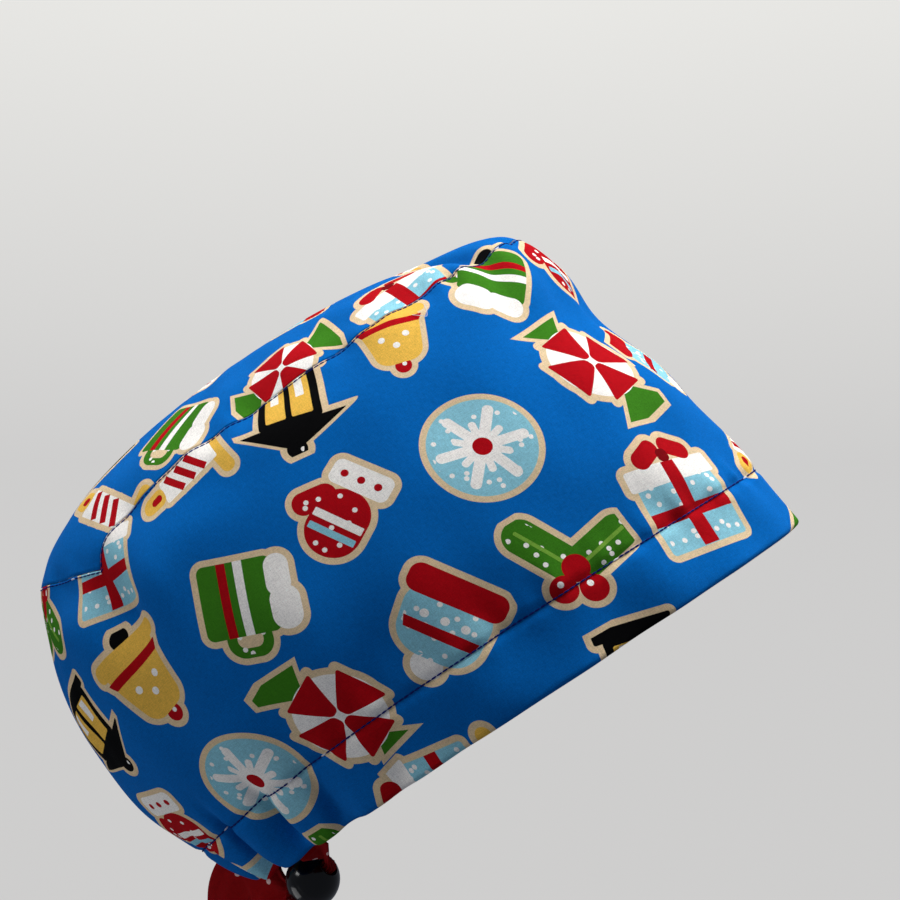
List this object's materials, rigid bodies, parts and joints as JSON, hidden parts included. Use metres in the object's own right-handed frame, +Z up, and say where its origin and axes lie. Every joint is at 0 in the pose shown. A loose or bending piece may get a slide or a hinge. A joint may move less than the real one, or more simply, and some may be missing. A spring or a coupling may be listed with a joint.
{
  "type": "scrub cap",
  "caption": "Soft cloth head cover with a flat crown panel, a shaped side band, a hem that holds a drawtape, a sliding cord lock and free ties.",
  "frame": {"origin": "middle of the head opening, on the plane of the hem's folded edge, between the forehead and the nape", "axes": "+Z up as worn by a person who stands upright, -Y the way the wearer faces, +X the wearer's left"},
  "size_m": [0.1689, 0.2982, 0.3452],
  "materials": {
    "printed_cotton": "plain-weave printed cotton, matt",
    "dotted_cotton": "plain-weave dotted cotton tape, matt",
    "glossy_plastic": "polished moulded plastic"
  },
  "bodies": {
    "root": {"crown_panel": "printed_cotton", "side_band": "printed_cotton", "drawtape": "dotted_cotton", "tape_neck": "dotted_cotton", "cord_lock": "glossy_plastic", "tie_upper": "dotted_cotton", "tie_lower": "dotted_cotton"}
  },
  "joints": []
}
